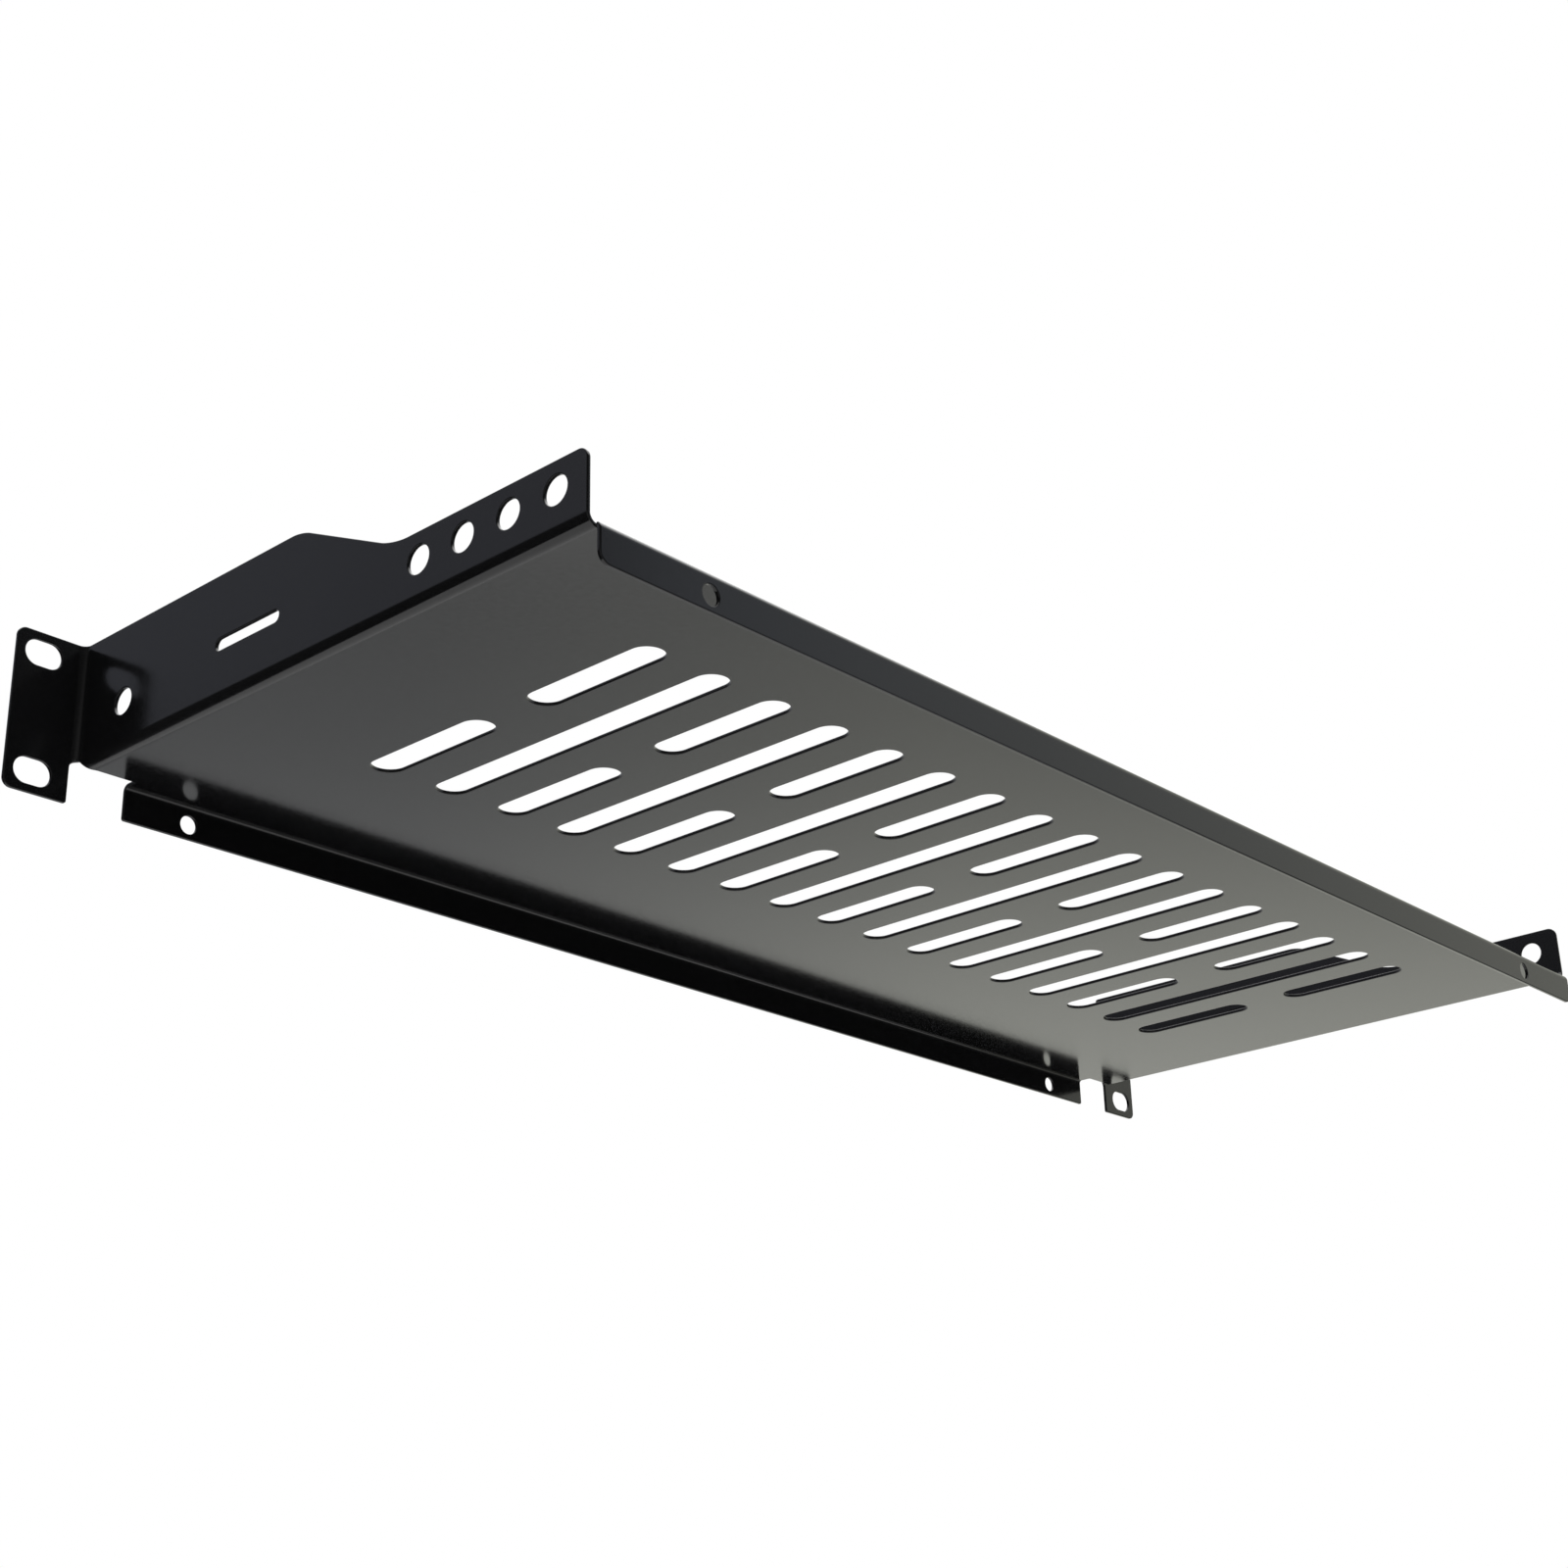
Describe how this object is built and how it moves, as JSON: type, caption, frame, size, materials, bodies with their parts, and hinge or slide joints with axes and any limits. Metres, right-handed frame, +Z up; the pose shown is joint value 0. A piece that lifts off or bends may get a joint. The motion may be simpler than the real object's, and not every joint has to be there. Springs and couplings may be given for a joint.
{
  "type": "rack shelf",
  "caption": "One-unit cantilever rack shelf folded from one vented steel sheet, with slotted ears, stepped side walls and short lips at front and rear.",
  "frame": {"origin": "centre of the four rack slots, on the back faces of the ears, where the shelf meets the rack's rails", "axes": "+X across the rack, +Y to the rear, +Z up"},
  "size_m": [0.4806, 0.1875, 0.043],
  "materials": {
    "powder_coat": "smooth semi-gloss black powder coat"
  },
  "bodies": {
    "root": {"shelf": "powder_coat"}
  },
  "joints": []
}
